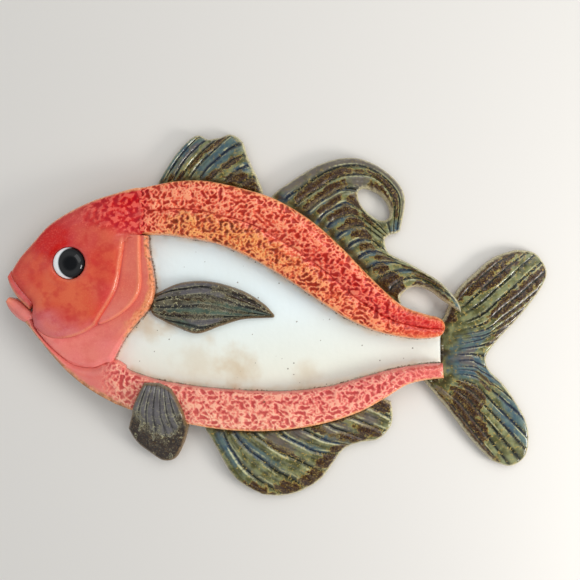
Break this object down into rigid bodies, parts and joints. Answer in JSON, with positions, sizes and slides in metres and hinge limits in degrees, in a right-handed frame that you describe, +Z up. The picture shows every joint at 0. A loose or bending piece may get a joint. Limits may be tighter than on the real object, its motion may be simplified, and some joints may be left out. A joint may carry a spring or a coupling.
{
  "type": "fish shaped platter",
  "caption": "Shallow stoneware serving dish in the form of a fish: a flat floor inside raised pebbled bands, a relief head with gill plates, and ribbed fins and tail round the edge.",
  "frame": {"origin": "on the table, under the middle of the box that holds the whole fish with its fins", "axes": "+X along the fish from the nose to the tail, +Y from the belly to the back, +Z up from the table"},
  "size_m": [0.4002, 0.27, 0.028],
  "materials": {
    "floor_glaze": "glossy off-white glaze over stoneware, bare clay on the underside",
    "back_glaze": "glossy translucent red and amber glaze over a pebbled surface",
    "belly_glaze": "glossy translucent coral glaze over a pebbled surface",
    "head_glaze": "glossy translucent orange-red glaze",
    "gill_glaze": "glossy translucent coral glaze",
    "eye_glaze": "glossy white glaze with a black pupil",
    "fin_glaze": "glossy celadon, blue and rust-brown glaze that breaks over the ribs",
    "dark_fin_glaze": "glossy dark olive and brown glaze"
  },
  "bodies": {
    "root": {"dish_floor": "floor_glaze", "back_band": "back_glaze", "belly_band": "belly_glaze", "head": "head_glaze", "inner_gill_plate": "gill_glaze", "outer_gill_plate": "gill_glaze", "upper_lip": "head_glaze", "lower_lip": "gill_glaze", "eyeball": "eye_glaze", "front_dorsal_fin": "fin_glaze", "rear_dorsal_fin": "fin_glaze", "tail_fin": "fin_glaze", "anal_fin": "fin_glaze", "pelvic_fin": "dark_fin_glaze", "pectoral_fin": "dark_fin_glaze"}
  },
  "joints": []
}
